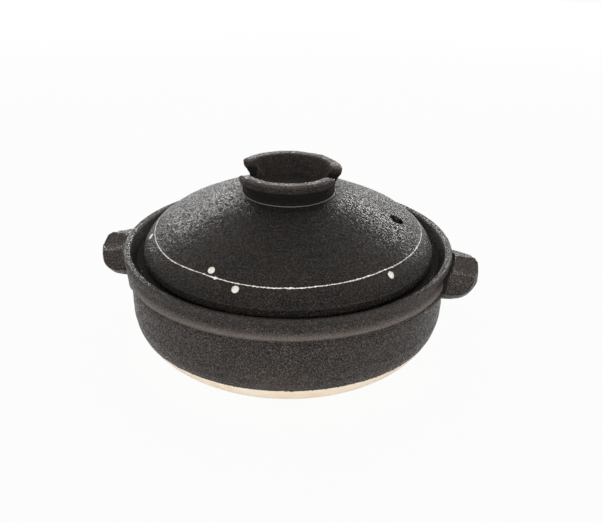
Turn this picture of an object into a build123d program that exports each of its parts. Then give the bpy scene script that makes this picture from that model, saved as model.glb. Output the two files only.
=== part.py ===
from build123d import *
from math import cos, radians, sin, tan
import os

# Donabe, a Japanese clay cooking pot with a domed lid. Lengths are in millimetres and angles in degrees.
# The origin is at the centre of the base, on the surface that the pot stands on, with +Z up.
# +X runs through the right handle, and the lid's steam hole is above that handle.

# Bowl
pot_height = 88.5           # base to the inside edge of the lip
rim_radius = 130.0          # inside edge of the lip
lip_width = 4.8
lip_edge_rise = 0.6         # the lip's outer edge is this much higher than its inner edge
lip_face_height = 4.0
lip_outer_round = 1.9
lip_inner_round = 1.0
collar_height = 21.0        # lip down to the groove under the collar
collar_waist_depth = 4.4    # how far the hollow of the collar lies inside the lip's outer face
collar_waist_drop = 8.5
collar_waist_round = 7.0
bulge_overhang = 3.4        # how far the collar's lower bead reaches past the lip's inside edge
bulge_rise = 3.6
bulge_round = 3.5
groove_round = 0.8
belly_inset = 1.6           # how far the belly lies inside the lip's inside edge
belly_flare = 1.3           # the belly widens by this much up to the groove
belly_round = 42.0
wall = 7.4
floor_thickness = 8.5

# Gallery that the lid sits in
gallery_depth = 9.3
gallery_lean = 5.4
gallery_round = 2.5
ledge_width = 13.1
ledge_edge_height = 4.5
ledge_edge_round = 2.0
ledge_underside_height = 13.0
ledge_underside_round = 12.0

# Lid
lid_seat_clearance = 0.3
lid_side_clearance = 5.3
lid_edge_height = 4.7       # foot of the lid up to its widest circle
lid_foot_setback = 1.5
lid_wall = 6.5
dome_rise = 51.3            # widest circle up to the crown
# The dome's outline: how far out to the widest circle, and how far up to the crown
dome_outline_shares = ((0.0, 1.0), (0.324, 0.971), (0.67, 0.688), (0.872, 0.427), (0.97, 0.19), (1.0, 0.0))
steam_hole_radius = 4.5
steam_hole_setback = 30.8   # from the lid's widest circle in to the hole's axis

# Knob: a crown-shaped ring on the lid, cut through by a notch on each side
knob_rise = 17.5            # above the crown of the dome
knob_band_radius = 43.8
knob_band_height = 7.0
knob_band_round = 1.8
knob_top_width = 8.2
knob_band_taper = 1.2        # the band is this much narrower at its lower edge
knob_neck_depth = 2.6        # how far the top of the neck lies inside the band
knob_neck_taper = 4.8        # the neck narrows by this much down to its foot
knob_neck_round = 1.0
knob_base_step = 0.8         # how far the base reaches past the foot of the neck
knob_base_height = 1.0
knob_base_round = 0.3
cup_depth = 14.4
cup_flare = 9.6             # the cup narrows by this much down to its floor
cup_floor_round = 3.0
left_notch_width = 38.0
left_notch_offset = -6.0
right_notch_width = 25.0
right_notch_offset = -3.0

# Handles
handle_overhang = 22.7      # past the lip's outer face
handle_half_width = 33.0
handle_drop = 6.8           # top of the handle below the lip
handle_thickness = 18.1
handle_bead_radius = 3.4    # the strip of clay pressed under the collar to hold the handle
handle_bead_drop = 3.2
handle_bead_half_length = 56.0
handle_bead_bend_share = 0.86   # the strip bends more tightly than the bowl, so it thins towards its ends
left_handle_angle = 185.0
right_handle_angle = 0.0
# Each corner of the handle seen from above: how far along its half width, and how far out
handle_plan_shares = (
    (-1.0, 0.0),
    (-0.93, 0.42),
    (-0.62, 0.83),
    (-0.08, 1.0),
    (0.5, 0.9),
    (0.9, 0.47),
    (1.0, 0.0),
)
# Levels of the handle: how far up its thickness, and how wide beside the widest level
handle_level_shares = ((0.0, 0.80), (0.3, 0.98), (0.66, 1.0), (1.0, 0.84))

# White slip trailed on the lid: one line and its dots
slip_line_setback = 10.3    # from the lid's widest circle in to the middle of the line
slip_line_width = 1.3
slip_line_thickness = 0.5
slip_dot_radius = 3.1
slip_dot_thickness = 0.9
slip_dot_gap = 0.15         # between a dot and the line beside it
slip_bed_gap = 0.08         # between the slip and the lid
slip_inner_dot_angles = (248.9, 68.9)
slip_outer_dot_angles = (199.4, 261.4, 324.0, 81.4, 144.0)

overrun = 5.0               # how far every cut runs past what it cuts
fillet_share = 0.98         # the most of half a run that a round may take

# Places worked out from the sizes above
lip_radius = rim_radius + lip_width
waist_radius = lip_radius - collar_waist_depth
bulge_radius = rim_radius + bulge_overhang
belly_radius = rim_radius - belly_inset
groove_radius = belly_radius + belly_flare
groove_height = pot_height - collar_height
gallery_radius = rim_radius - gallery_lean
ledge_height = pot_height - gallery_depth
throat_radius = gallery_radius - ledge_width
inner_radius = belly_radius - wall
ledge_bottom = ledge_height - ledge_edge_height

lid_radius = gallery_radius - lid_side_clearance
lid_foot = ledge_height + lid_seat_clearance
lid_edge = lid_foot + lid_edge_height
crown = lid_edge + dome_rise
knob_top = crown + knob_rise
knob_neck_radius = knob_band_radius - knob_neck_depth
knob_neck_foot_radius = knob_neck_radius - knob_neck_taper
knob_base_radius = knob_neck_foot_radius + knob_base_step
cup_radius = knob_band_radius - knob_top_width
cup_floor_radius = cup_radius - cup_flare
cup_floor = knob_top - cup_depth

steam_hole_distance = lid_radius - steam_hole_setback
slip_line_radius = lid_radius - slip_line_setback
slip_dot_distance = slip_line_width / 2 + slip_dot_gap + slip_dot_radius

bead_bend_radius = groove_radius * handle_bead_bend_share
bead_height = groove_height - handle_bead_drop


def rounded_line(points, rounds):
    """A line through the points, with an arc at each inner point, limited by the two runs beside it."""
    corners = [Vector(*point) for point in points]
    limited = []
    for before, corner, after, radius in zip(corners, corners[1:], corners[2:], rounds):
        turn = (corner - before).get_angle(after - corner)
        reach = min((corner - before).length, (after - corner).length) / 2
        limited.append(min(radius, fillet_share * reach / tan(radians(turn) / 2)))
    return FilletPolyline(*corners, radius=limited, close=False)


def turned(outline):
    """The solid that a closed outline in the XZ plane sweeps out around Z."""
    return revolve(make_face(outline.edges()), Axis.Z)


def flat(points):
    """Points given as (radius, height), in the XZ plane."""
    return [(radius, 0, height) for radius, height in points]


def pot_outside():
    """Corners and rounds of the bowl's outside, from the middle of the base to the lip's inside edge."""
    points = [
        (0, 0),
        (belly_radius, 0),
        (groove_radius, groove_height),
        (bulge_radius, groove_height + bulge_rise),
        (waist_radius, pot_height - collar_waist_drop),
        (lip_radius, pot_height - lip_face_height),
        (lip_radius, pot_height + lip_edge_rise),
        (rim_radius, pot_height),
    ]
    rounds = [belly_round, groove_round, bulge_round, collar_waist_round, lip_outer_round, lip_outer_round]
    return points, rounds


def pot_inside():
    """Corners and rounds of the bowl's inside, from the foot of the gallery to the middle of the floor."""
    points = [
        (gallery_radius, ledge_height),
        (throat_radius, ledge_height),
        (throat_radius, ledge_bottom),
        (inner_radius, ledge_bottom - ledge_underside_height),
        (inner_radius, floor_thickness),
        (0, floor_thickness),
    ]
    rounds = [
        gallery_round,
        ledge_edge_round,
        ledge_edge_round,
        ledge_underside_round,
        belly_round - wall,
    ]
    return points, rounds


def make_pot_body():
    outside, outside_rounds = pot_outside()
    inside, inside_rounds = pot_inside()
    outline = rounded_line(flat(outside + inside), outside_rounds + [lip_inner_round] + inside_rounds)
    return turned(outline + Line(outline @ 1, outline @ 0))


def make_pot_core():
    """The bowl's outside filled in, which cuts what is joined to it."""
    outside, outside_rounds = pot_outside()
    side = rounded_line(flat(outside), outside_rounds)
    top = Line(side @ 1, (0, 0, (side @ 1).Z))
    return turned(side + top + Line(top @ 1, side @ 0))


def dome_curve(radius, rise):
    points = [(radius * across, 0, lid_edge + rise * up) for across, up in dome_outline_shares]
    return Spline(*points, tangents=((1, 0, 0), (0, 0, -1)))


def make_dome_core(growth=0):
    """The lid's outside filled in, grown by a thickness for what lies on it."""
    curve = dome_curve(lid_radius + growth, dome_rise + growth)
    side = Line(curve @ 1, (lid_radius + growth, 0, lid_foot))
    bottom = Line(side @ 1, (0, 0, lid_foot))
    return turned(curve + side + bottom + Line(bottom @ 1, curve @ 0))


def make_lid_shell():
    outer = dome_curve(lid_radius, dome_rise)
    inner = dome_curve(lid_radius - lid_wall, dome_rise - lid_wall)
    foot_outer = (lid_radius - lid_foot_setback, 0, lid_foot)
    foot_inner = (lid_radius - lid_wall, 0, lid_foot)
    foot = Polyline(outer @ 1, foot_outer, foot_inner, inner @ 1)
    shell = turned(outer + foot + inner + Line(inner @ 0, outer @ 0))
    drill_length = crown - lid_foot + overrun
    drill_place = Location((steam_hole_distance, 0, lid_foot + drill_length / 2))
    return shell - drill_place * Cylinder(steam_hole_radius, drill_length)


def make_notch(side, width, offset):
    """The cutter of one notch in the knob: side is -1 for the left and 1 for the right."""
    reach = knob_band_radius + overrun
    depth = cup_depth + overrun
    return Location((side * reach / 2, offset, cup_floor + depth / 2)) * Box(reach, width, depth)


def make_lid_knob():
    points = [
        (0, lid_edge),
        (knob_base_radius, lid_edge),
        (knob_base_radius, crown + knob_base_height),
        (knob_neck_foot_radius, crown + knob_base_height),
        (knob_neck_radius, knob_top - knob_band_height - knob_neck_round),
        (knob_band_radius - knob_band_taper, knob_top - knob_band_height),
        (knob_band_radius, knob_top),
        (cup_radius, knob_top),
        (cup_floor_radius, cup_floor),
        (0, cup_floor),
    ]
    rounds = [
        knob_base_round,
        knob_base_round,
        knob_base_round,
        knob_neck_round,
        knob_band_round,
        knob_band_round,
        knob_band_round,
        cup_floor_round,
    ]
    outline = rounded_line(flat(points), rounds)
    ring = turned(outline + Line(outline @ 1, outline @ 0))
    left_notch = make_notch(-1, left_notch_width, left_notch_offset)
    right_notch = make_notch(1, right_notch_width, right_notch_offset)
    return ring - make_dome_core() - left_notch - right_notch


def handle_section(share_up, share_wide):
    """One level of the handle's faceted lug, as a face, with its root inside the collar."""
    height = pot_height - handle_drop - handle_thickness * (1 - share_up)
    root = throat_radius
    reach = lip_radius + handle_overhang - waist_radius
    plan = [(waist_radius + reach * out * share_wide, handle_half_width * along * share_wide, height)
            for along, out in handle_plan_shares]
    start = (root, plan[0][1], height)
    end = (root, plan[-1][1], height)
    return make_face(Polyline(start, *plan, end, close=True).edges())


def make_handle_bead():
    """The strip of clay under the collar: a piece of a ring, with its ends cut square."""
    place = Location((groove_radius - bead_bend_radius, 0, bead_height))
    ring = place * Torus(bead_bend_radius, handle_bead_radius)
    room = Box(groove_radius, 2 * handle_bead_half_length, 4 * handle_bead_radius)
    return ring & Location((groove_radius, 0, bead_height)) * room


def make_handle(angle):
    lug = loft([handle_section(up, wide) for up, wide in handle_level_shares], ruled=True)
    return Rotation(0, 0, angle) * (lug + make_handle_bead() - make_pot_core())


def make_slip_layer(thickness):
    """A skin of slip over the whole outside of the lid."""
    return make_dome_core(slip_bed_gap + thickness) - make_dome_core(slip_bed_gap)


def make_slip_line():
    height = crown - lid_foot
    place = Location((0, 0, lid_foot + height / 2))
    outer = place * Cylinder(slip_line_radius + slip_line_width / 2, height)
    inner = place * Cylinder(slip_line_radius - slip_line_width / 2, height)
    return make_slip_layer(slip_line_thickness) & (outer - inner)


def make_slip_dots():
    height = crown - lid_foot
    layer = make_slip_layer(slip_dot_thickness)
    rings = (
        (slip_line_radius - slip_dot_distance, slip_inner_dot_angles),
        (slip_line_radius + slip_dot_distance, slip_outer_dot_angles),
    )
    dots = []
    for radius, angles in rings:
        for angle in angles:
            x = radius * cos(radians(angle))
            y = radius * sin(radians(angle))
            column = Location((x, y, lid_foot + height / 2)) * Cylinder(slip_dot_radius, height)
            dots += (layer & column).solids()
    return Compound(dots)


parts = {
    "pot_body": make_pot_body(),
    "handle_left": make_handle(left_handle_angle),
    "handle_right": make_handle(right_handle_angle),
    "lid_shell": make_lid_shell(),
    "lid_knob": make_lid_knob(),
    "lid_slip_line": make_slip_line(),
    "lid_slip_dots": make_slip_dots(),
}

os.makedirs("parts", exist_ok=True)
for name, shape in parts.items():
    export_step(shape, f"parts/{name}.step")
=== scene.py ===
import math

import bmesh
import bpy
import numpy as np
from mathutils import Matrix, Vector, noise


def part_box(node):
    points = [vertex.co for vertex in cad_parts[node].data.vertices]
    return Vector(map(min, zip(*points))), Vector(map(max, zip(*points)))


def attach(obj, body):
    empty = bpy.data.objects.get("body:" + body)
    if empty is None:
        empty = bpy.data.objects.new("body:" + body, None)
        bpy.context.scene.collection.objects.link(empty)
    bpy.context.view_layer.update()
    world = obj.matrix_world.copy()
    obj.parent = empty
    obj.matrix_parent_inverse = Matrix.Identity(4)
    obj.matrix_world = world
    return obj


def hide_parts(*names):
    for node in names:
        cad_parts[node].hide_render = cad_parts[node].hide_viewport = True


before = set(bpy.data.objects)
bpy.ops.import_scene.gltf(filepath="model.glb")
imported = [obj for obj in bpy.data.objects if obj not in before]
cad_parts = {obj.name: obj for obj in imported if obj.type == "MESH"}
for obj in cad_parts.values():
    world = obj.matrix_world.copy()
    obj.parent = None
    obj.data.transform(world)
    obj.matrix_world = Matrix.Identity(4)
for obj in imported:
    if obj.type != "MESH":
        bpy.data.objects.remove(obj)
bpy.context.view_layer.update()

# A donabe clay pot, dressed with thrown clay, black glaze and white slip. Lengths are in metres.
# The pot's axis is the Z axis. Nothing is drawn at random: noise gives the same values each run.
MM = 0.001

# Sizes read from the frame
_, pot_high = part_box("pot_body")
lid_low, lid_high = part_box("lid_shell")
_, knob_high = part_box("lid_knob")
LIP_RADIUS = pot_high.x
LID_RADIUS = lid_high.x
LID_FOOT = lid_low.z
CROWN = lid_high.z
KNOB_TOP = knob_high.z

# Bowl, as in the part's source
RIM_HEIGHT = 88.5 * MM
LIP_EDGE_RISE = 0.6 * MM
RIM_RADIUS = 130.0 * MM
COLLAR_HEIGHT = 21.0 * MM
WAIST_RADIUS = LIP_RADIUS - 4.4 * MM
WAIST_DROP = 8.5 * MM
LIP_FACE = 4.0 * MM
BULGE_RADIUS = RIM_RADIUS + 3.4 * MM
BULGE_RISE = 3.6 * MM
BELLY_RADIUS = RIM_RADIUS - 1.6 * MM
GROOVE_RADIUS = BELLY_RADIUS + 1.3 * MM
GROOVE_HEIGHT = RIM_HEIGHT - COLLAR_HEIGHT
BELLY_ROUND = 42.0 * MM
WALL = 7.4 * MM
FLOOR = 8.5 * MM
GALLERY_RADIUS = RIM_RADIUS - 5.4 * MM
LEDGE_HEIGHT = RIM_HEIGHT - 9.3 * MM
THROAT_RADIUS = GALLERY_RADIUS - 13.1 * MM
LEDGE_BOTTOM = LEDGE_HEIGHT - 4.5 * MM
UNDERSIDE = 13.0 * MM
INNER_RADIUS = BELLY_RADIUS - WALL
CLAY_HEIGHT = 23.6 * MM         # up to here the outside of the bowl is bare clay
# Ridges turned into the belly under the collar: how far each corner stands out and how far down it is, in mm
RIDGES = ((0.0, 5.2), (-0.35, 4.3), (0.25, 3.0), (-0.45, 1.8), (0.15, 0.9), (-0.5, 0.0))

# Lid
LID_EDGE = LID_FOOT + 4.7 * MM
LID_WALL = 6.5 * MM
LID_SETBACK = 1.5 * MM
DOME_SHARES = ((0.0, 1.0), (0.324, 0.971), (0.67, 0.688), (0.872, 0.427), (0.97, 0.19), (1.0, 0.0))
FOOT_POINTS = 4                 # so many points at the end of the dome's line give way to its rounded foot
STEAM_HOLE_RADIUS = 5.2 * MM
HOLE_OVAL = (0.90, 1.20)        # the hole is this much narrower outwards and wider across
STEAM_HOLE_DISTANCE = LID_RADIUS - 30.8 * MM

# Knob
KNOB_BASE_RADIUS = 37.6 * MM
KNOB_BAND_LOW = KNOB_TOP - 6.4 * MM
CUP_FLOOR = KNOB_TOP - 14.4 * MM
FOOT_REACH = 0.35 * MM          # points of the knob that are no higher than this over the dome are its foot
FOOT_SINK = 2.5 * MM            # and go down into the dome by this
# Each notch in the knob: its side, its width and how far it is off the middle
NOTCHES = ((-1, 38 * MM, -6 * MM), (1, 25 * MM, -3 * MM))
NOTCH_EDGE = 4.5 * MM           # how far from a notch's cut faces the clay is softened

# Handles: each one's angle in degrees, the seed of its lumps, and whether it is mirrored
HANDLES = {"handle_right": (0.0, 2.0, False), "handle_left": (185.0, 11.0, True)}
HANDLE_TOP = RIM_HEIGHT - 6.2 * MM
HANDLE_BOTTOM = RIM_HEIGHT - 26.4 * MM
HANDLE_HALF_WIDTH = 33.0 * MM
HANDLE_TIP = LIP_RADIUS + 22.7 * MM
HANDLE_ROOT = 127.0 * MM
SPARE_CLAY = 1.2 * MM           # the lug starts this much too high, and the knife cuts take that off
GROOVE_TOP = 77.4 * MM          # above this height a groove parts the handle from the collar
GROOVE_OUTER = 137.8 * MM
# Each knife cut on a handle: a place on it, the way it faces and how deeply it is scooped out
FACETS = (
    ((141 * MM, 26 * MM, 79.2 * MM), (0.13, 0.20, 0.97), 90 * MM),
    ((147 * MM, -3 * MM, 79.6 * MM), (0.10, -0.14, 0.985), 70 * MM),
    ((144 * MM, -24 * MM, 71.2 * MM), (0.12, -0.62, 0.77), 60 * MM),
    ((157 * MM, -9 * MM, 75.0 * MM), (0.86, -0.34, 0.38), 60 * MM),
    ((156 * MM, 13 * MM, 75.5 * MM), (0.84, 0.36, 0.40), 60 * MM),
)
FACET_SEED_STEP = 4
BEAD_RADIUS = 3.4 * MM
BEAD_HEIGHT = GROOVE_HEIGHT - 3.2 * MM
BEAD_HALF_ANGLE = 25.5
BEAD_SINK = 0.4 * MM
BEAD_TOP = BEAD_HEIGHT + BEAD_RADIUS + 1 * MM

# Slip
LINE_RADIUS = LID_RADIUS - 10.6 * MM
LINE_HALF_WIDTH = 0.34 * MM
LINE_THICKNESS = 0.22 * MM
LINE_SINK = 0.10 * MM
LINE_THINNEST = 0.18            # where the line breaks up, it keeps this share of its width
DOT_RADIUS = 2.95 * MM
DOT_THICKNESS = 0.9 * MM
DOT_SINK = 0.12 * MM
# Each dot: its distance from the line, outwards, and its angle
DOTS = (
    (-3.2 * MM, 248.9),
    (3.9 * MM, 261.4),
    (3.4 * MM, 324.0),
    (3.5 * MM, 199.4),
    (3.9 * MM, 81.4),
    (-3.6 * MM, 68.9),
    (3.6 * MM, 144.0),
)
# Each blob of slip on the line: its angle and its size
BLOBS = ((252.2, 1.3), (348.5, 2.6), (281.8, 0.2), (307.0, 0.5), (37.0, 0.9), (120.0, 0.8))
BLOB_REACH = 0.75               # degrees either way
BLOB_WIDENING = 0.75            # how much a blob of size 1 widens the line
BLOB_SWELLING = 0.8             # and thickens it
# Each place where the line sways outwards: its angle, how far it reaches either way, in degrees, and how much
SWAYS = ((279.0, 18.0, 1.3 * MM), (222.0, 16.0, 1.3 * MM))
# The line's wandering, in mm, and its change of width, as a share: how much, how fast, and the noise's shift
LINE_WANDER = ((0.55, 2.3, (0, 0, 0)), (0.28, 9, (4, 0, 0)), (0.22, 60, (0, 0, 0)))
LINE_ROUGHNESS = ((0.5, 24, (0, 0, 0)), (1.1, 70, (0, 0, 3)))

# Waves round a thrown form: each one's height in mm, how many of them go round, and where they start
POT_LOBES = ((0.30, 2, 0.6), (0.16, 3, 2.2), (0.07, 7, 0.0))
LID_LOBES = ((0.22, 2, 1.9), (0.14, 3, 0.4))
# The same for how the throwing rings drift up and down, as an angle in radians
POT_DRIFT = ((0.7, 1, 1.0), (0.4, 2, 0.0))
LID_DRIFT = ((0.8, 1, 2.0),)
# Throwing rings: each set's height in mm, its length for one radian, and its share of the drift
POT_RINGS = ((0.07, 0.62 * MM, 1), (0.10, 1.45 * MM, 2))
LID_RINGS = ((0.06, 0.9 * MM, 1), (0.07, 2.1 * MM, -1))
# Lumps in the clay: each kind's height in mm, its size, and what it adds to the seed
KNOB_LUMPS = ((0.40, 14 * MM, 3.1), (0.14, 4 * MM, 8.2))
LUG_LUMPS = ((0.35, 9 * MM, 0),)
FACET_LUMPS = ((0.55, 7 * MM, 0),)
HANDLE_LUMPS = ((0.10, 5 * MM, 3), (0.08, 2 * MM, 5))

# How finely the pieces are made
SEGMENTS = 540
STEP = 1.2 * MM
FOOT_STEP = 0.6 * MM
KNOB_VOXEL = 0.55 * MM
HANDLE_VOXEL = 0.6 * MM

# Glaze: the sizes of its grain, its pale flecks (grit and painted glints) and its clouds, and how deep the
# grain is
FINE_SIZE = 0.95 * MM
FINE_DEPTH = 1.25 * MM
LUMP_SIZE = 1.9 * MM
LUMP_DEPTH = 1.0 * MM
FLECK_SIZE = 0.85 * MM
CLOUD_SIZE = 34 * MM
LINES_SIZE = 1.6 * MM
LINES_DEPTH = 0.40 * MM
LINES_DRAWN = 0.1               # how fast the throwing lines change round the piece, next to across them
DULLEST = 0.62
# the roughness of the black painted shade and of the pooled glaze
POOL_AND_SHADE_ROUGHNESS = 0.9
# how strongly the pale shade shows on worn edges and on painted highlights
WEAR_AND_HIGHLIGHT_STRENGTH = 0.85
LEAST_WEAR = 0.35               # between the worn patches an edge keeps this share of its wear
# The pointiness, 0.5 where the form is flat, at which the wear of an edge begins and is full
EDGE_POINTED = 0.506
EDGE_SHARP = 0.535
GLAZE_IOR = 1.32
HOLE_SHADE = 0.4 * MM           # over this width the steam hole's black gives way to the glaze
# Painted shade: the black of shaded recesses and of the steam hole's inside, and of glaze pooled round the
# knob
POOL_AND_SHADE_BLACK = (0.0025, 0.0022, 0.002, 1.0)

# Bare clay: the sizes of its sand and clouds, and how deep the sand is
SAND_SIZE = 1.1 * MM
SAND_DEPTH = 0.22 * MM
CLAY_CLOUD_SIZE = 22 * MM
CLAY_ROUGHNESS = 0.85
# The glaze's edge over the clay: the size and height of its sway and of the short runs of glaze
SWAY_SIZE = 9 * MM
SWAY_HEIGHT = 1.5 * MM
RUN_SIZE = 2.4 * MM
RUN_HEIGHT = 1.1 * MM
CLAY_FULL = 0.6 * MM            # the clay is bare up to this much over its line
CLAY_END = 0.8 * MM             # and gives way to the glaze by here

# White slip: the sizes of its pinholes and clouds, and how deep the pinholes are
PINHOLE_SIZE = 0.8 * MM
PINHOLE_DEPTH = 0.18 * MM
SLIP_CLOUD_SIZE = 5 * MM

# Light: how bright the studio's walls and ceiling are, and up to which height of the sky the walls reach
WALL_LIGHT = 1.6
CEILING_LIGHT = 0.65
WALL_TOP = 0.22
CEILING_FROM = 0.55
FRONT_SHARE = 0.45              # how bright the front of the sky is, next to its back
# Where along Y, from -1 to 1, the sky's front ends and the backdrop and the sky's full light begin
FRONT_END = -0.6
BACKDROP_START = -0.1
BACK_START = 0.9
MIRRORED_SHARE = 0.35           # how much of the white backdrop shows in the glaze
STUDIO_TINT = (1.0, 0.965, 0.93, 1)
WHITE = (1, 1, 1, 1)
PAPER = (0.86, 0.86, 0.86, 1)
FLOOR_SEEN = 0.94               # the share of plain white in the floor, and the rest takes the shadow
FLOOR_HALF_SIZE = 6.0
LAMP_AIM = (0, 0, 0.07)
# Each soft box: its name, place, width and height, and power in watts
LAMPS = (
    ("box_front", (-0.3, -1.1, 1.9), (0.9, 0.7), 2.5),
    ("box_left", (-1.0, 1.75, 0.30), (0.8, 0.3), 8),
    ("box_right", (0.40, 2.0, 0.32), (0.8, 0.3), 8),
    ("box_low", (0.2, -1.7, 0.16), (2.4, 0.3), 9),
    ("box_middle", (0.2, -1.6, 0.75), (2.2, 0.3), 8),
)

# The photograph's camera, with its angles in degrees
AZIMUTH = 10.0
ELEVATION = 25.8
ROLL = 0.9
DISTANCE = 0.715
AIM_RIGHT = 0.084 * RIM_RADIUS
AIM_HEIGHT = RIM_HEIGHT - 0.146 * RIM_RADIUS
PHOTO_WIDTH = 602.0
FOCAL_PIXELS = 848.0
SENSOR_WIDTH = 36.0


def turn(x, y, angle):
    return x * math.cos(angle) - y * math.sin(angle), x * math.sin(angle) + y * math.cos(angle)


def angles(count):
    """So many angles, spread evenly over a full turn."""
    return [2 * math.pi * k / count for k in range(count)]


def outwards(angle):
    """The direction straight away from the axis at this angle."""
    return np.array((math.cos(angle), math.sin(angle), 0))


def rounded(corners, rounds, step=STEP):
    """Points along a line of (radius, height) corners whose inner corners are rounded."""
    corners = [np.array(corner, float) for corner in corners]
    runs = [np.linalg.norm(b - a) for a, b in zip(corners, corners[1:])]
    ways = [(b - a) / run for a, b, run in zip(corners, corners[1:], runs)]
    bends = [math.atan2(a[0] * b[1] - a[1] * b[0], a @ b) for a, b in zip(ways, ways[1:])]
    reaches = [radius * math.tan(abs(bend) / 2) for radius, bend in zip(rounds, bends)]
    for i, run in enumerate(runs[1:-1]):
        share = min(1, 0.98 * run / (reaches[i] + reaches[i + 1]))
        reaches[i] *= share
        reaches[i + 1] *= share
    line = [corners[0]]
    for corner, way, bend, reach in zip(corners[1:], ways, bends, reaches):
        radius = reach / math.tan(abs(bend) / 2)
        start = corner - way * reach
        centre = start + np.array((-way[1], way[0])) * math.copysign(radius, bend)
        count = max(4, int(abs(bend) * radius / step))
        for i in range(count + 1):
            line.append(centre + turn(*(start - centre), bend * i / count))
    line.append(corners[-1])
    return filled(line, step)


def filled(line, step):
    """The same line with more points on its long runs."""
    points = [line[0]]
    for a, b in zip(line, line[1:]):
        length = np.linalg.norm(np.subtract(b, a))
        count = max(1, int(length / step))
        if length > 1e-9:
            points += [np.add(a, np.subtract(b, a) * (i + 1) / count) for i in range(count)]
    return np.array(points)


def curve_through(points, first, last):
    """A smooth line through the points that leaves along first and arrives along last."""
    points = np.array(points, float)
    chords = np.linalg.norm(np.diff(points, axis=0), axis=1)
    slopes = [np.array(first, float)]
    for i in range(1, len(points) - 1):
        before = (points[i] - points[i - 1]) / chords[i - 1]
        after = (points[i + 1] - points[i]) / chords[i]
        slopes.append((before * chords[i] + after * chords[i - 1]) / (chords[i] + chords[i - 1]))
    slopes.append(np.array(last, float))
    line = [points[0]]
    for i, chord in enumerate(chords):
        count = max(2, int(chord / STEP))
        for k in range(1, count + 1):
            t = k / count
            line.append(
                (2 * t**3 - 3 * t**2 + 1) * points[i]
                + (t**3 - 2 * t**2 + t) * chord * slopes[i]
                + (3 * t**2 - 2 * t**3) * points[i + 1]
                + (t**3 - t**2) * chord * slopes[i + 1]
            )
    return line


def mesh_object(name, points, faces):
    mesh = bpy.data.meshes.new(name)
    mesh.from_pydata([tuple(p) for p in points], [], faces)
    mesh.validate()
    mesh.shade_smooth()
    piece = bpy.data.objects.new(name, mesh)
    bpy.context.scene.collection.objects.link(piece)
    return piece


def quads(rings, count, joined=False):
    """The faces between rings of count points each. joined also joins the last ring to the first."""
    faces = []
    for i in range(rings if joined else rings - 1):
        a = i * count
        b = (i + 1) % rings * count
        for k in range(count):
            n = (k + 1) % count
            faces.append((a + k, a + n, b + n, b + k))
    return faces


def end_faces(rings, count):
    """The two faces that close the first and the last ring."""
    return [tuple(reversed(range(count))), tuple(range((rings - 1) * count, rings * count))]


def coordinates(piece):
    values = np.zeros(len(piece.data.vertices) * 3)
    piece.data.vertices.foreach_get("co", values)
    return values.reshape(-1, 3)


def set_coordinates(piece, points):
    piece.data.vertices.foreach_set("co", points.ravel())
    piece.data.update()


def normals(piece):
    values = np.zeros(len(piece.data.vertices) * 3)
    piece.data.vertex_normals.foreach_get("vector", values)
    return values.reshape(-1, 3)


def grain(points, size, seed):
    """Smooth noise from -1 to 1 at each point, with lumps of about that size."""
    shift = Vector((seed, seed * 1.7, -seed))
    return np.array([noise.noise(Vector(p) / size + shift) for p in points])


def clay_lumps(points, kinds, seed=0.0):
    """How far these kinds of lumps stand out at each point."""
    return sum(height * grain(points, size, seed + more) for height, size, more in kinds) * MM


def pushed_out(piece, kinds, seed=0.0):
    """The points of the piece, moved along its normals by these kinds of lumps."""
    points = coordinates(piece)
    return points + normals(piece) * clay_lumps(points, kinds, seed)[:, None]


def waves(around, table):
    """The sum of the table's waves at this angle."""
    return sum(height * np.sin(count * around + start) for height, count, start in table)


def throwing_rings(place, drift, table):
    """The ridges that the potter's fingers leave, at this place along the outline."""
    return sum(height * np.sin(place / length + share * drift) for height, length, share in table)


def lathe(name, outline, relief):
    """A turned form. outline runs from axis to axis, and relief pushes its skin to the right of that way."""
    rings = outline[1:-1]
    slope = np.gradient(outline, axis=0)[1:-1]
    slope /= np.linalg.norm(slope, axis=1)[:, None]
    run = np.cumsum(np.linalg.norm(np.diff(outline, axis=0), axis=1))[:-1]
    around = np.linspace(0, 2 * math.pi, SEGMENTS, endpoint=False)
    push = relief(run[:, None], rings[:, 0:1], rings[:, 1:2], around[None, :])
    radius = rings[:, 0:1] + push * slope[:, 1:2]
    height = rings[:, 1:2] - push * slope[:, 0:1]
    points = np.stack([radius * np.cos(around), radius * np.sin(around), height], -1).reshape(-1, 3)
    ends = [(0, 0, outline[0][1]), (0, 0, outline[-1][1])]
    faces = quads(len(rings), SEGMENTS)
    first, last = len(points), len(points) + 1
    for k in range(SEGMENTS):
        n = (k + 1) % SEGMENTS
        faces.append((first, n, k))
        faces.append((last, first - SEGMENTS + k, first - SEGMENTS + n))
    return mesh_object(name, np.vstack([points, ends]), faces)


def modified(piece, **modifiers):
    """The piece's mesh after these modifiers, kept in place of the old one."""
    for kind, values in modifiers.items():
        modifier = piece.modifiers.new(kind, kind)
        for key, value in values.items():
            setattr(modifier, key, value)
    bpy.context.view_layer.update()
    shown = piece.evaluated_get(bpy.context.evaluated_depsgraph_get())
    mesh = bpy.data.meshes.new_from_object(shown)
    piece.modifiers.clear()
    piece.data = mesh
    mesh.shade_smooth()
    return piece


def mark_run(piece, run):
    """Stores how far along its outline each vertex lies, which the throwing lines in the glaze follow."""
    points = coordinates(piece)
    attribute = piece.data.attributes.new("run", "FLOAT", "POINT")
    attribute.data.foreach_set("value", run(np.hypot(points[:, 0], points[:, 1]), points[:, 2]))


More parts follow.
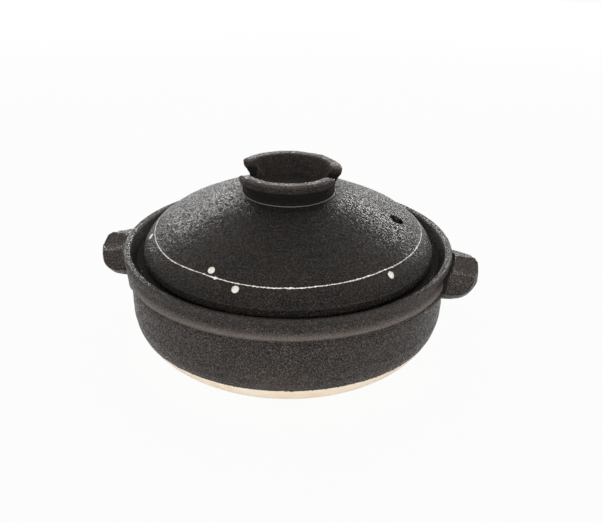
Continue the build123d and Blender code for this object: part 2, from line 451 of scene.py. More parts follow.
def pot_outline():
    """The pot's profile from the middle of its base, over the lip, to the middle of its floor."""
    outside = [
        (0, 0),
        (BELLY_RADIUS, 0),
        *[(GROOVE_RADIUS + out * MM, GROOVE_HEIGHT - down * MM) for out, down in RIDGES],
        (BULGE_RADIUS, GROOVE_HEIGHT + BULGE_RISE),
        (WAIST_RADIUS, RIM_HEIGHT - WAIST_DROP),
        (LIP_RADIUS, RIM_HEIGHT - LIP_FACE),
        (LIP_RADIUS, RIM_HEIGHT + LIP_EDGE_RISE),
        (RIM_RADIUS, RIM_HEIGHT),
    ]
    # How round each corner after the first is
    rounds = [BELLY_ROUND, 1.2 * MM] + 5 * [0.7 * MM] + [3.2 * MM, 7.0 * MM, 1.9 * MM, 1.6 * MM, 1.3 * MM]
    inside = [
        (GALLERY_RADIUS, LEDGE_HEIGHT),
        (THROAT_RADIUS, LEDGE_HEIGHT),
        (THROAT_RADIUS, LEDGE_BOTTOM),
        (INNER_RADIUS, LEDGE_BOTTOM - UNDERSIDE),
        (INNER_RADIUS, FLOOR),
        (0, FLOOR),
    ]
    inside_rounds = [2.5 * MM, 2.0 * MM, 2.0 * MM, 12.0 * MM, BELLY_ROUND - WALL]
    return rounded(outside + inside, rounds + inside_rounds)


def pot_relief(run, radius, height, around):
    """The pot's lobes and rings. They fade out towards the base, and inside they are fainter."""
    fade_height, fade_width, faintest = 14 * MM, 3 * MM, 0.25
    settle = np.clip(height / fade_height, 0, 1) ** 2
    outside = np.clip((radius - GALLERY_RADIUS + fade_width) / fade_width, faintest, 1)
    rings = throwing_rings(run, waves(around, POT_DRIFT), POT_RINGS)
    return (waves(around, POT_LOBES) + rings) * settle * outside * MM


def make_pot():
    pot = lathe("pot_clay", pot_outline(), pot_relief)
    mark_run(pot, lambda radius, height: height - radius)
    return pot


def dome_outline(radius, rise):
    points = [(radius * across, LID_EDGE + rise * up) for across, up in DOME_SHARES]
    return curve_through(points, (1, 0), (0, -1))


DOME_RISE = CROWN - LID_EDGE
dome_line = np.array(dome_outline(LID_RADIUS, DOME_RISE))


def dome_height(radius):
    return np.interp(radius, dome_line[:, 0], dome_line[:, 1])


def dome_slope(radius, gap):
    """How steeply the dome rises outwards, measured over the gap on both sides."""
    return (dome_height(radius + gap) - dome_height(radius - gap)) / (2 * gap)


def lid_lift(radius, around):
    """How far the skin of the dome stands off its outline."""
    full_radius = 60 * MM
    lobes = waves(around, LID_LOBES) * np.clip(radius / full_radius, 0, 1)
    return (lobes + throwing_rings(radius, waves(around, LID_DRIFT), LID_RINGS)) * MM


def lid_relief(run, radius, height, around):
    """The dome's lift, fading out at the foot. The outline starts at the crown: outwards is to its left."""
    fade_height = 4 * MM
    return -lid_lift(radius, around) * np.clip((height - LID_FOOT) / fade_height, 0, 1)


def on_dome(radius, angle, lift=0.0):
    """The point on the lid's skin at this distance and angle, and the direction straight off it there."""
    rise = dome_slope(radius, 0.5 * MM)
    length = math.hypot(1, rise)
    out, up = -rise / length, 1 / length
    lift = lift + lid_lift(radius, angle)
    r, z = radius + out * lift, dome_height(radius) + up * lift
    point = np.array((r * math.cos(angle), r * math.sin(angle), z))
    return point, np.array((out * math.cos(angle), out * math.sin(angle), up))


def make_steam_hole_cutter():
    """A drill whose mouth opens out along the slope of the dome, so that the hole's edge is round."""
    count, mouth_steps = 48, 8
    mouth, depth, clearance = 0.5 * MM, 25 * MM, 6 * MM
    flare, flare_height = 3 * mouth, 0.2 * MM
    profile = [(STEAM_HOLE_RADIUS, -depth), (STEAM_HOLE_RADIUS, -mouth)]
    for i in range(1, mouth_steps + 1):
        angle = math.pi / 2 * i / mouth_steps
        profile.append((STEAM_HOLE_RADIUS + mouth * (1 - math.cos(angle)), -mouth + mouth * math.sin(angle)))
    profile.append((STEAM_HOLE_RADIUS + flare, flare_height))
    profile.append((STEAM_HOLE_RADIUS + flare, clearance))
    slope = dome_slope(STEAM_HOLE_DISTANCE, MM)
    middle = dome_height(STEAM_HOLE_DISTANCE)
    lift = lid_lift(STEAM_HOLE_DISTANCE, 0)
    points = []
    for radius, height in profile:
        for angle in angles(count):
            x = radius * math.cos(angle) * HOLE_OVAL[0]
            y = radius * math.sin(angle) * HOLE_OVAL[1]
            points.append((STEAM_HOLE_DISTANCE + x, y, middle + height + slope * x + lift))
    faces = quads(len(profile), count) + end_faces(len(profile), count)
    return mesh_object("steam_hole_cutter", points, faces)


def make_lid():
    """The dome, its rounded foot and its hollow, turned as one form, with the steam hole drilled through."""
    inner = dome_outline(LID_RADIUS - LID_WALL, DOME_RISE - LID_WALL)
    foot = rounded(
        [
            dome_line[-FOOT_POINTS],
            (LID_RADIUS, LID_EDGE - 1.0 * MM),
            (LID_RADIUS - LID_SETBACK, LID_FOOT),
            (LID_RADIUS - LID_WALL, LID_FOOT),
            inner[-FOOT_POINTS],
        ],
        [2.0 * MM, 1.2 * MM, 1.2 * MM],
        FOOT_STEP,
    )
    outline = np.vstack([dome_line[:-FOOT_POINTS], foot, inner[:-FOOT_POINTS][::-1]])
    lid = lathe("lid_clay", outline, lid_relief)
    cutter = make_steam_hole_cutter()
    modified(lid, BOOLEAN={"operation": "DIFFERENCE", "solver": "EXACT", "object": cutter})
    bpy.data.objects.remove(cutter)
    mark_run(lid, lambda radius, height: radius)
    return lid


def near_notches(points):
    """From 0 to 1, how near each point of the knob lies to the cut faces of its notches."""
    share = np.zeros(len(points))
    for side, width, offset in NOTCHES:
        for edge in (offset - width / 2, offset + width / 2):
            there = (points[:, 0] * side > 0) & (points[:, 2] > CUP_FLOOR + 1 * MM)
            near = np.exp(-(((points[:, 1] - edge) / NOTCH_EDGE) ** 2))
            share = np.maximum(share, near * there)
    return share


def make_knob():
    """The knob of the frame, with its foot let into the dome, softened and pressed by hand."""
    least_share = 0.02
    knob = bpy.data.objects.new("knob_clay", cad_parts["lid_knob"].data.copy())
    bpy.context.scene.collection.objects.link(knob)
    points = coordinates(knob)
    radius = np.hypot(points[:, 0], points[:, 1])
    points[points[:, 2] < dome_height(radius) + FOOT_REACH, 2] -= FOOT_SINK
    set_coordinates(knob, points)
    modified(
        knob,
        REMESH={"mode": "VOXEL", "voxel_size": KNOB_VOXEL},
        SMOOTH={"factor": 0.5, "iterations": 5},
    )
    ends = knob.vertex_groups.new(name="ends")
    for index, share in enumerate(near_notches(coordinates(knob))):
        if share > least_share:
            ends.add([index], float(share), "REPLACE")
    modified(knob, SMOOTH={"factor": 0.5, "iterations": 45, "vertex_group": "ends"})
    set_coordinates(knob, pushed_out(knob, KNOB_LUMPS))
    return knob


def make_knob_ring():
    """The thin raised line where the knob's foot is joined to the lid."""
    count, sides = 360, 8
    thickness, change, speed, flatness = 0.45, 0.1, 4, 1.2
    points = []
    for angle in angles(count):
        thick = (thickness + change * noise.noise(Vector(outwards(angle)) * speed)) * MM
        centre, up = on_dome(KNOB_BASE_RADIUS, angle)
        out = outwards(angle)
        for side in angles(sides):
            points.append(centre + up * thick * math.sin(side) + out * thick * flatness * math.cos(side))
    return mesh_object("knob_foot_line", points, quads(count, sides, joined=True))


def scooped(points, place, facing, radius, seed):
    """Points inside a large ball that touches place are pushed out of it, as by a scooping cut."""
    facing = np.array(facing, float) / np.linalg.norm(facing)
    radius = radius + clay_lumps(points, FACET_LUMPS, seed)[:, None]
    centre = np.array(place) + facing * np.mean(radius)
    away = points - centre
    far = np.linalg.norm(away, axis=1)[:, None]
    return np.where(far < radius, centre + away * radius / np.maximum(far, MM), points)


def powered(value, power):
    """The value's size to this power, with its sign kept, which makes a rounder or squarer oval."""
    return math.copysign(abs(value) ** power, value)


def lug_width(up):
    """The lug's width as a share of its full one: narrow at its bottom and a little so at its top."""
    narrow, swell, full_from = 0.80, 0.20, 0.45
    shrink, shrink_from = 0.05, 0.7
    wide = narrow + swell * math.sin(math.pi / 2 * min(1, up / full_from))
    return wide - shrink * max(0, up - shrink_from) / (1 - shrink_from)


def lug_ring(height, up, outer_points, root_steps):
    """The lug's outline at one height, in the handle's own frame: round its outside, then along its root."""
    lean_middle, lean_change = 0.90, 0.10
    reach_least, reach_lean = 0.67, 0.36
    front_power, side_power = 0.72, 0.95
    overlap = 0.6 * MM
    root = HANDLE_ROOT if height < GROOVE_TOP else GROOVE_OUTER
    wide = lug_width(up)
    half = HANDLE_HALF_WIDTH * wide
    ring = []
    for k in range(outer_points):
        angle = math.pi * (k / (outer_points - 1) - 0.5)
        lean = lean_middle + lean_change * math.sin(angle)
        x = powered(math.cos(angle), front_power)
        y = half * powered(math.sin(angle), side_power)
        reach = (HANDLE_TIP - WAIST_RADIUS) * (reach_least + reach_lean * lean) * wide
        behind = math.sqrt(root**2 - y**2) + overlap
        ring.append((max(WAIST_RADIUS + reach * x, behind), y, height))
    for k in range(1, 2 * root_steps):
        y = half * (1 - k / root_steps)
        ring.append((math.sqrt(root**2 - y**2), y, height))
    return ring


def make_lug():
    levels, outer_points, root_steps = 24, 41, 8
    count = outer_points + 2 * root_steps - 1
    points = []
    for i in range(levels):
        up = i / (levels - 1)
        height = HANDLE_BOTTOM + (HANDLE_TOP + SPARE_CLAY - HANDLE_BOTTOM) * up
        points += lug_ring(height, up, outer_points, root_steps)
    return mesh_object("lug", points, quads(levels, count) + end_faces(levels, count))


def make_bead():
    """The strip of clay pressed under the collar, with round ends."""
    count, sides, thinnest, bluntness = 61, 16, 0.05, 14
    points = []
    for k in range(count):
        along = 2 * k / (count - 1) - 1
        angle = math.radians(BEAD_HALF_ANGLE) * along
        thick = BEAD_RADIUS * max(thinnest, (1 - abs(along) ** bluntness)) ** 0.5
        for side in angles(sides):
            radius = GROOVE_RADIUS - BEAD_SINK + thick * math.cos(side)
            height = BEAD_HEIGHT + thick * math.sin(side)
            points.append((radius * math.cos(angle), radius * math.sin(angle), height))
    return mesh_object("bead", points, quads(count, sides) + end_faces(count, sides))


def make_joined_lug(name):
    """The lug and the strip under the collar, melted into one closed form."""
    lug, bead = make_lug(), make_bead()
    join = bmesh.new()
    join.from_mesh(lug.data)
    join.from_mesh(bead.data)
    bmesh.ops.recalc_face_normals(join, faces=join.faces)
    join.to_mesh(lug.data)
    join.free()
    bpy.data.objects.remove(bead)
    lug.name = name
    return modified(
        lug,
        REMESH={"mode": "VOXEL", "voxel_size": HANDLE_VOXEL},
        SMOOTH={"factor": 0.5, "iterations": 8},
    )


def make_handle(name, angle, seed, mirrored):
    """A lug cut with a knife into facets, turned to its place on the pot."""
    lug = make_joined_lug(name)
    points = pushed_out(lug, LUG_LUMPS, seed)
    body = points[:, 2] > BEAD_TOP
    cut = points[body]
    for number, (place, facing, radius) in enumerate(FACETS):
        cut = scooped(cut, place, facing, radius, seed + FACET_SEED_STEP * number)
    points[body] = cut
    set_coordinates(lug, points)
    points = pushed_out(lug, HANDLE_LUMPS, seed)
    if mirrored:
        points[:, 1] *= -1
        lug.data.flip_normals()
    turned = Matrix.Rotation(math.radians(angle), 3, "Z")
    set_coordinates(lug, points @ np.array(turned).T)
    return lug


def wavering(here, table):
    return sum(amount * noise.noise(here * speed + Vector(shift)) for amount, speed, shift in table)


def nearness(angle, place, reach):
    """1 at this place round the lid, and less the further off. place and reach are in degrees."""
    off = (math.degrees(angle) - place + 180) % 360 - 180
    return math.exp(-((off / reach) ** 2))


def make_slip_line():
    """A thin trailed line that wanders, swells and breaks up, with blobs where the hand paused."""
    count, sides = 1400, 7
    points, faces = [], []
    for angle in angles(count):
        here = Vector(outwards(angle))
        blob = sum(size * nearness(angle, place, BLOB_REACH) for place, size in BLOBS)
        sway = sum(move * nearness(angle, place, reach) for place, reach, move in SWAYS)
        radius = LINE_RADIUS + wavering(here, LINE_WANDER) * MM + sway
        width = LINE_HALF_WIDTH * max(LINE_THINNEST, 1 + wavering(here, LINE_ROUGHNESS))
        width *= 1 + BLOB_WIDENING * blob
        thickness = LINE_THICKNESS * (1 + BLOB_SWELLING * blob)
        for i in range(sides):
            across = 2 * i / (sides - 1) - 1
            lift = thickness * math.sqrt(max(0, 1 - across**2)) - LINE_SINK
            points.append(on_dome(radius + across * width, angle, lift)[0])
    for k in range(count):
        a = k * sides
        b = (k + 1) % count * sides
        for i in range(sides - 1):
            faces.append((a + i, a + i + 1, b + i + 1, b + i))
        faces.append((b, b + sides - 1, a + sides - 1, a))
    return mesh_object("slip_line", points, faces)


def dot_points(number, distance, angle, rings, count):
    """Rings of points from the middle of a drop to its edge, which is round and a little uneven."""
    unevenness, speed, shift = 0.07, 1.4, 3.3
    flat_share, round_share = 0.86, 0.14
    centre, up = on_dome(distance, angle)
    out = outwards(angle)
    out = out - up * (out @ up)
    out /= np.linalg.norm(out)
    along = np.cross(up, out)
    points = []
    for ring in range(rings):
        share = ring / (rings - 1)
        swell = (1 - share**4) * (flat_share + round_share * math.cos(3 * share))
        lift = DOT_THICKNESS * swell - DOT_SINK * share
        for side in angles(count):
            here = Vector((math.cos(side), math.sin(side), number * shift))
            reach = DOT_RADIUS * share * (1 + unevenness * noise.noise(here * speed))
            flat = centre + out * reach * math.cos(side) + along * reach * math.sin(side)
            points.append(on_dome(math.hypot(flat[0], flat[1]), math.atan2(flat[1], flat[0]), lift)[0])
    return points


def make_slip_dots():
    """Drops of slip, highest inside their edge."""
    rings, count = 9, 40
    points, faces = [], []
    for number, (offset, degrees) in enumerate(DOTS):
        base = len(points)
        points += dot_points(number, LINE_RADIUS + offset, math.radians(degrees), rings, count)
        for ring in range(rings - 1):
            a = base + ring * count
            b = a + count
            for k in range(count):
                n = (k + 1) % count
                faces.append((a + k, b + k, b + n, a + n))
    return mesh_object("slip_dots", points, faces)


class Nodes:
    """Builds a node tree: each call adds one node and gives it, or its output, back."""

    def __init__(self, tree):
        self.tree = tree
        tree.nodes.clear()

    def add(self, kind, inputs=None, **settings):
        new = self.tree.nodes.new(kind)
        for key, value in settings.items():
            setattr(new, key, value)
        for key, value in (inputs or {}).items():
            if isinstance(value, bpy.types.NodeSocket):
                self.tree.links.new(value, new.inputs[key])
            else:
                new.inputs[key].default_value = value
        return new

    def math(self, operation, a, b=0.0, c=0.0):
        return self.add("ShaderNodeMath", {0: a, 1: b, 2: c}, operation=operation).outputs[0]

    def vector(self, operation, a, b=(0.0, 0.0, 0.0)):
        return self.add("ShaderNodeVectorMath", {0: a, 1: b}, operation=operation).outputs[0]

    def length(self, vector):
        return self.add("ShaderNodeVectorMath", {0: vector}, operation="LENGTH").outputs["Value"]

    def noise(self, vector, size, detail=2.0, roughness=0.5, distortion=0.0):
        inputs = {"Vector": vector, "Scale": 1 / size, "Detail": detail, "Roughness": roughness}
        inputs["Distortion"] = distortion
        return self.add("ShaderNodeTexNoise", inputs).outputs["Fac"]

    def stretch(self, value, low, high, to_low=0.0, to_high=1.0):
        inputs = {"Value": value, "From Min": low, "From Max": high, "To Min": to_low, "To Max": to_high}
        return self.add("ShaderNodeMapRange", inputs, clamp=True).outputs[0]

    def mix(self, share, a, b):
        return self.add("ShaderNodeMix", {0: share, 6: a, 7: b}, data_type="RGBA").outputs[2]

    def bump(self, height):
        return self.add("ShaderNodeBump", {"Height": height, "Distance": 1.0, "Strength": 1.0}).outputs[0]

    def principled(self, **inputs):
        named = {key.replace("_", " "): value for key, value in inputs.items()}
        return self.add("ShaderNodeBsdfPrincipled", named).outputs[0]

    def mix_shader(self, share, a, b):
        return self.add("ShaderNodeMixShader", {0: share, 1: a, 2: b}).outputs[0]

    def seen(self):
        """Whether the camera sees a point straight on, and whether it does in a mirror or through glass."""
        rays = self.add("ShaderNodeLightPath").outputs
        return rays["Is Camera Ray"], self.math("MAXIMUM", rays["Is Glossy Ray"], rays["Is Transmission Ray"])


def new_material(name):
    material = bpy.data.materials.new(name)
    material.use_nodes = True
    return material, Nodes(material.node_tree)


def place_on_piece(n):
    """Each point's place, in metres."""
    return n.add("ShaderNodeTexCoord").outputs["Object"]


def colour(red, green, blue):
    """A colour given as it shows on a screen, from 0 to 255."""
    values = [c / 255 for c in (red, green, blue)]
    return tuple(c / 12.92 if c <= 0.04045 else ((c + 0.055) / 1.055) ** 2.4 for c in values) + (1.0,)


# Shades of the glaze where it is thick and where it is browner, and a pale shade for where it is worn thin,
# which also paints highlights and glints
DARK = colour(24, 21, 19)
WARM = colour(44, 34, 28)
PALE_WEAR_AND_HIGHLIGHT = colour(112, 104, 99)
# The two shades of the clay and of the slip, and the sand and pinholes in them
CLAY_SHADES = (colour(252, 241, 224), colour(247, 229, 206))
SAND = colour(176, 140, 108)
SLIP_SHADES = (colour(253, 251, 246), colour(236, 230, 220))
PINHOLE = colour(168, 156, 140)


def zone(n, radius, height, low, high, soft):
    """1 inside a ring-shaped zone given by its lowest and highest (radius, height), and 0 outside it."""
    inside = n.stretch(radius, low[0] - soft, low[0] + soft)
    inside = n.math("MULTIPLY", inside, n.stretch(radius, high[0] - soft, high[0] + soft, 1.0, 0.0))
    inside = n.math("MULTIPLY", inside, n.stretch(height, low[1] - soft, low[1] + soft))
    return n.math("MULTIPLY", inside, n.stretch(height, high[1] - soft, high[1] + soft, 1.0, 0.0))


def flat_distance(n, place, centre=(0.0, 0.0)):
    """How far each point lies from an upright axis."""
    off = n.vector("SUBTRACT", place, (*centre, 0.0))
    return n.length(n.vector("MULTIPLY", off, (1.0, 1.0, 0.0)))


def throwing_lines(n, place):
    """Noise that is drawn out round the piece and follows its run."""
    run = n.add("ShaderNodeAttribute", attribute_name="run").outputs["Fac"]
    drawn = n.vector("MULTIPLY", place, (LINES_DRAWN, LINES_DRAWN, 0.0))
    along = n.add("ShaderNodeCombineXYZ", {2: run}).outputs[0]
    return n.noise(n.vector("ADD", drawn, along), LINES_SIZE, detail=3.0, roughness=0.6)


def grain_height(n, place, fine, lumps, bump, rings):
    """The height of the glaze's grain, and of the throwing lines in it."""
    height = n.math("MULTIPLY", fine, FINE_DEPTH * bump)
    height = n.math("MULTIPLY_ADD", lumps, LUMP_DEPTH * bump, height)
    if rings:
        height = n.math("MULTIPLY_ADD", throwing_lines(n, place), LINES_DEPTH * rings, height)
    return height


def wear_and_highlight_share(n, radius, upright, fine, lumps, wear, bare):
    """How pale the glaze is painted: worn thin in patches along the edges, and all over the bare zones, which
    are painted highlights.
    """
    pointed = n.add("ShaderNodeNewGeometry").outputs["Pointiness"]
    edge = n.stretch(pointed, EDGE_POINTED, EDGE_SHARP)
    patches = n.stretch(lumps, 0.35, 0.6, LEAST_WEAR * wear, wear)
    thin = n.math("MULTIPLY", edge, patches)
    # The bare zones are painted highlights, on faces where the light falls brightly
    for low, high, soft in bare:
        rubbed = zone(n, radius, upright, low, high, soft)
        rubbed = n.math("MULTIPLY", rubbed, n.stretch(fine, 0.3, 0.6, 0.7, 1.2))
        thin = n.math("MAXIMUM", thin, rubbed)
    return n.math("MINIMUM", n.math("MULTIPLY", thin, WEAR_AND_HIGHLIGHT_STRENGTH), 1.0)


def pools_and_painted_shade(n, place, radius, upright, thick, hole):
    """Where the glaze is painted black, as shade in recesses and in the hole, and as pooled glaze round the
    lid's knob: a share for each thick zone, and one for the hole.
    """
    darkened_zones = []
    for low, high, soft, share in thick:
        darkened_zones.append(n.math("MULTIPLY", zone(n, radius, upright, low, high, soft), share))
    if hole:
        centre, reach = hole
        darkened_zones.append(n.stretch(flat_distance(n, place, centre), reach, reach + HOLE_SHADE, 1.0, 0.0))
    return darkened_zones


def glaze(name, shades, grit=0.6, bump=1.0, rings=0.0, wear=1.0, smoothest=0.20, thick=(), bare=(), hole=None,
          clay_line=None):
    """Black iron glaze with a gritty grain and cloudy colour.

    shades are dark, warm and worn, and the worn shade also paints highlights and glints. grit is how much the
    pale flecks show, which are grit and painted glints. bump and rings are how deep the grain and the
    throwing lines are. wear is how far the edges are worn, and smoothest is the roughness where the glaze
    shines. Each thick zone, (low, high, soft, share), is painted black: as shade in the recesses, and as
    pooled glaze round the lid's knob. Each bare zone, (low, high, soft), is painted pale as a highlight. hole
    is the centre and the radius of a hole, which is painted black inside for shade. Below clay_line the
    outside is bare clay.
    """
    dark, warm, worn = shades
    material, n = new_material(name)
    place = place_on_piece(n)
    upright = n.add("ShaderNodeSeparateXYZ", {0: place}).outputs[2]
    radius = flat_distance(n, place)
    fine = n.noise(place, FINE_SIZE, detail=1.0)
    lumps = n.noise(place, LUMP_SIZE, detail=1.0)
    clouds = n.noise(place, CLOUD_SIZE, detail=4.0, roughness=0.6, distortion=0.4)
    grit_and_glint_flecks = n.noise(place, FLECK_SIZE, detail=1.0)
    tint = n.mix(n.stretch(clouds, 0.44, 0.68), dark, warm)
    # Pale flecks: grit in the glaze, and painted glints that stand in for the sparkle of its speckled shine
    tint = n.mix(n.stretch(grit_and_glint_flecks, 0.50, 0.66, 0.0, grit), tint, worn)
    # Worn edges, and painted highlights on the bare zones
    tint = n.mix(wear_and_highlight_share(n, radius, upright, fine, lumps, wear, bare), tint, worn)
    roughness = n.stretch(lumps, 0.42, 0.56, DULLEST, smoothest)
    # Painted shade: black and dull in the shaded zones and in the steam hole, and where glaze pools round the
    # knob
    for darkened_zone in pools_and_painted_shade(n, place, radius, upright, thick, hole):
        tint = n.mix(darkened_zone, tint, POOL_AND_SHADE_BLACK)
        roughness = n.math("MAXIMUM", roughness, n.math("MULTIPLY", darkened_zone, POOL_AND_SHADE_ROUGHNESS))
    normal = n.bump(grain_height(n, place, fine, lumps, bump, rings))
    surface = n.principled(Base_Color=tint, Roughness=roughness, Normal=normal, IOR=GLAZE_IOR)
    if clay_line:
        surface = with_bare_clay(n, place, surface, clay_line)
    n.add("ShaderNodeOutputMaterial", {"Surface": surface})
    return material


def cloudy(n, clouds, shades):
    """Two shades in soft clouds."""
    return n.mix(n.stretch(clouds, 0.35, 0.65), *shades)


def clay_surface(n, place):
    """Cream clay with sandy grit."""
    sand = n.noise(place, SAND_SIZE, detail=4.0, roughness=0.7)
    clouds = n.noise(place, CLAY_CLOUD_SIZE, detail=3.0, roughness=0.55)
    tint = cloudy(n, clouds, CLAY_SHADES)
    tint = n.mix(n.stretch(sand, 0.62, 0.78, 0.0, 0.45), tint, SAND)
    normal = n.bump(n.math("MULTIPLY", sand, SAND_DEPTH))
    return n.principled(Base_Color=tint, Roughness=CLAY_ROUGHNESS, Normal=normal)


def with_bare_clay(n, place, surface, clay_line):
    """Leaves the clay bare below a wavering line, on the outside and the base but not inside the bowl."""
    upright = n.add("ShaderNodeSeparateXYZ", {0: place}).outputs[2]
    sway = n.noise(place, SWAY_SIZE, detail=4.0, roughness=0.7)
    waver = n.math("MULTIPLY_ADD", sway, SWAY_HEIGHT, upright)
    runs = n.stretch(n.noise(place, RUN_SIZE), 0.55, 0.75)
    waver = n.math("MULTIPLY_ADD", runs, RUN_HEIGHT, waver)
    across = n.math("SUBTRACT", flat_distance(n, place), BELLY_RADIUS - BELLY_ROUND)
    across = n.math("MAXIMUM", across, 0.0)
    spoke = n.add("ShaderNodeCombineXYZ", {0: across, 1: n.math("SUBTRACT", upright, BELLY_ROUND)}).outputs[0]
    outer = n.stretch(n.length(spoke), BELLY_ROUND - WALL * 0.6, BELLY_ROUND - WALL * 0.5)
    low = n.stretch(waver, clay_line + CLAY_FULL, clay_line + CLAY_END, 1.0, 0.0)
    return n.mix_shader(n.math("MULTIPLY", low, outer), surface, clay_surface(n, place))


def make_pot_glaze():
    """Painted shade in the gallery and on the lip, as thick black glaze, and painted highlights on the
    collar's bulge and the rim's inner edge, as worn glaze.
    """
    above = RIM_HEIGHT + 3 * MM
    middle = GROOVE_HEIGHT + BULGE_RISE
    edge = RIM_RADIUS - 0.7 * MM
    # Painted shade in the gallery, which the lip and the lid shade
    gallery = ((THROAT_RADIUS - 5 * MM, LEDGE_HEIGHT - 5 * MM), (edge, above), 0.3 * MM)
    # Painted shade on the lip's top and outer face
    lip = ((RIM_RADIUS + 0.8 * MM, RIM_HEIGHT - LIP_FACE - 1 * MM), (LIP_RADIUS + 3 * MM, above), 1.0 * MM)
    # Painted highlight on the collar's bulge, whose upper side catches the light
    bulge = ((BULGE_RADIUS - 3 * MM, middle - 0.6 * MM), (BULGE_RADIUS + 3 * MM, middle + 4.2 * MM), 2.2 * MM)
    # Painted highlight along the rim's inner edge
    inner_edge = ((edge, RIM_HEIGHT - 3 * MM), (RIM_RADIUS + 0.1 * MM, above), 0.2 * MM)
    return glaze(
        "pot_glaze",
        (DARK, WARM, PALE_WEAR_AND_HIGHLIGHT),
        grit=0.75,
        rings=1.0,
        wear=0.4,
        thick=[(*gallery, 0.7), (*lip, 0.4)],
        bare=[bulge, inner_edge],
        clay_line=CLAY_HEIGHT,
    )


def make_lid_glaze():
    """Blacker than the pot's, and black round the knob, as a painted shadow and as glaze pooled there."""
    knob_shadow_and_pool = ((30 * MM, CROWN - 25 * MM), (47 * MM, CROWN + 3 * MM), 6.0 * MM)
    return glaze(
        "lid_glaze",
        (colour(20, 18, 16), colour(30, 25, 22), PALE_WEAR_AND_HIGHLIGHT),
        grit=0.37,
        bump=1.05,
        rings=0.35,
        smoothest=0.25,
        thick=[(*knob_shadow_and_pool, 0.5)],
        # Painted shade: black inside the steam hole
        hole=((STEAM_HOLE_DISTANCE, 0.0), STEAM_HOLE_RADIUS * 1.08),
    )


def make_knob_glaze():
    """Painted shade on the neck under the band, as thick black glaze, and a painted highlight along the
    crest, as worn glaze.
    """
    # Painted shade: the neck lies in the band's shadow
    neck = ((32 * MM, CROWN - 6 * MM), (60 * MM, KNOB_BAND_LOW), 0.4 * MM)
    # Painted highlight along the crest's top face
    crest = ((35.8 * MM, KNOB_TOP - 2.0 * MM), (42.4 * MM, KNOB_TOP + 3 * MM), 1.2 * MM)
    return glaze(
        "knob_glaze",
        (DARK, colour(44, 34, 29), PALE_WEAR_AND_HIGHLIGHT),
        grit=0.35,
        thick=[(*neck, 0.88)],
        bare=[crest],
    )


def make_knob_line_highlight():
    """Painted highlight: the pale line along the knob's foot, where its small ridge catches the light."""
    return glaze("knob_line_highlight", (colour(126, 120, 115), colour(104, 98, 93), PALE_WEAR_AND_HIGHLIGHT), grit=0.3, bump=0.4)


def make_handle_glaze():
    """Greyer than the pot's, and painted black for shade in the groove beside the collar."""
    # Painted shade in the groove between the handle and the collar
    groove = ((0, BEAD_TOP), (GROOVE_OUTER - 2.2 * MM, RIM_HEIGHT), 0.7 * MM)
    return glaze(
        "handle_glaze",
        (colour(44, 41, 39), colour(57, 49, 46), colour(132, 123, 116)),
        bump=0.9,
        thick=[(*groove, 0.85)],
    )


def make_white_slip():
    """White slip in two shades, with darker pinholes and a dull shine."""
    material, n = new_material("white_slip")
    place = place_on_piece(n)
    pinholes = n.noise(place, PINHOLE_SIZE, detail=3.0, roughness=0.6)
    clouds = n.noise(place, SLIP_CLOUD_SIZE)
    tint = cloudy(n, clouds, SLIP_SHADES)
    tint = n.mix(n.stretch(pinholes, 0.60, 0.76, 0.0, 0.5), tint, PINHOLE)
    roughness = n.stretch(pinholes, 0.3, 0.7, 0.5, 0.75)
    normal = n.bump(n.math("MULTIPLY", pinholes, PINHOLE_DEPTH))
    surface = n.principled(Base_Color=tint, Roughness=roughness, Normal=normal)
    n.add("ShaderNodeOutputMaterial", {"Surface": surface})
    return material


def dress():
    """Makes every piece, gives it its material and its body, and hides the CAD node that it stands for."""
    slip = make_white_slip()
    handle_glaze = make_handle_glaze()
    pieces = [
        (make_pot(), "pot", "pot_glaze", make_pot_glaze(), ["pot_body"]),
        (make_lid(), "lid", "lid_glaze", make_lid_glaze(), ["lid_shell"]),
        (make_knob(), "lid", "knob_glaze", make_knob_glaze(), ["lid_knob"]),
        (make_knob_ring(), "lid", "knob_glaze", make_knob_line_highlight(), []),
        (make_slip_line(), "lid", "white_slip", slip, ["lid_slip_line"]),
        (make_slip_dots(), "lid", "white_slip", slip, ["lid_slip_dots"]),
    ]
    for node, (angle, seed, mirrored) in HANDLES.items():
        handle = make_handle(node + "_clay", angle, seed, mirrored)
        pieces.append((handle, "pot", "handle_glaze", handle_glaze, [node]))
    for piece, body, slot, material, nodes in pieces:
        piece.data.materials.clear()
        piece.data.materials.append(material)
        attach(piece, body)
        if nodes:
            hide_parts(*nodes)


def make_floor():
    """A pale floor that shows white and keeps the pot's shadow."""
    size = FLOOR_HALF_SIZE
    corners = [(-size, -size, 0), (size, -size, 0), (size, size, 0), (-size, size, 0)]
    floor = mesh_object("floor", corners, [(0, 1, 2, 3)])
    material, n = new_material("floor")
    paper = n.add("ShaderNodeBsdfDiffuse", {"Color": PAPER}).outputs[0]
    white = n.add("ShaderNodeEmission", {"Color": WHITE, "Strength": 1.0}).outputs[0]
    direct, mirrored = n.seen()
    seen = n.math("MULTIPLY", n.math("MAXIMUM", direct, mirrored), FLOOR_SEEN)
    n.add("ShaderNodeOutputMaterial", {"Surface": n.mix_shader(seen, paper, white)})
    floor.data.materials.append(material)


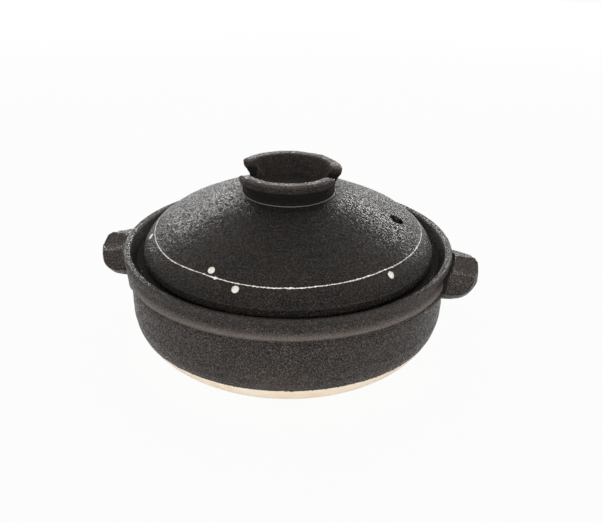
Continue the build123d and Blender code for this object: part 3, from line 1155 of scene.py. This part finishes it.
def make_world():
    """A studio all round: white walls, a dimmer ceiling, and a dim side where the camera stands."""
    world = bpy.data.worlds.new("studio")
    world.use_nodes = True
    bpy.context.scene.world = world
    n = Nodes(world.node_tree)
    way = n.add("ShaderNodeSeparateXYZ", {0: n.add("ShaderNodeTexCoord").outputs["Generated"]}).outputs
    walls = n.stretch(way[2], WALL_TOP, CEILING_FROM, WALL_LIGHT, CEILING_LIGHT)
    front = n.stretch(way[1], FRONT_END, BACK_START, FRONT_SHARE, 1.0)
    strength = n.math("MULTIPLY", walls, front)
    soft = n.add("ShaderNodeBackground", {"Color": STUDIO_TINT, "Strength": strength}).outputs[0]
    white = n.add("ShaderNodeBackground", {"Color": WHITE, "Strength": 1.0}).outputs[0]
    backdrop = n.stretch(way[2], WALL_TOP, CEILING_FROM, 1.0, 0.0)
    back = n.stretch(way[1], BACKDROP_START, BACK_START, 0.0, MIRRORED_SHARE)
    backdrop = n.math("MULTIPLY", backdrop, back)
    direct, mirrored = n.seen()
    seen = n.math("MAXIMUM", direct, n.math("MULTIPLY", mirrored, backdrop))
    n.add("ShaderNodeOutputWorld", {"Surface": n.mix_shader(seen, soft, white)})


def make_lamps():
    """The soft boxes, which all face the pot."""
    for name, place, (width, height), power in LAMPS:
        light = bpy.data.lights.new(name, "AREA")
        light.shape = "RECTANGLE"
        light.size = width
        light.size_y = height
        light.energy = power
        lamp = bpy.data.objects.new(name, light)
        lamp.location = place
        aim = Vector(LAMP_AIM) - Vector(place)
        lamp.rotation_euler = aim.to_track_quat("-Z", "Y").to_euler()
        bpy.context.scene.collection.objects.link(lamp)


def make_camera():
    """The photograph's camera: where it stands, how far, and how much it is rolled."""
    azimuth, elevation, roll = math.radians(AZIMUTH), math.radians(ELEVATION), math.radians(ROLL)
    right = Vector((math.cos(azimuth), math.sin(azimuth), 0))
    target = right * AIM_RIGHT + Vector((0, 0, AIM_HEIGHT))
    back = Vector((
        math.sin(azimuth) * math.cos(elevation),
        -math.cos(azimuth) * math.cos(elevation),
        math.sin(elevation),
    ))
    camera = bpy.data.cameras.new("camera")
    camera.sensor_fit = "HORIZONTAL"
    camera.sensor_width = SENSOR_WIDTH
    camera.lens = FOCAL_PIXELS / PHOTO_WIDTH * SENSOR_WIDTH
    camera.clip_end = 50.0
    holder = bpy.data.objects.new("camera", camera)
    bpy.context.scene.collection.objects.link(holder)
    axes = Matrix((right, back.cross(right), back)).transposed() @ Matrix.Rotation(roll, 3, "Z")
    holder.matrix_world = Matrix.Translation(target + back * DISTANCE) @ axes.to_4x4()
    bpy.context.scene.camera = holder


dress()
make_floor()
make_world()
make_lamps()
make_camera()
bpy.context.scene.view_settings.view_transform = "Standard"
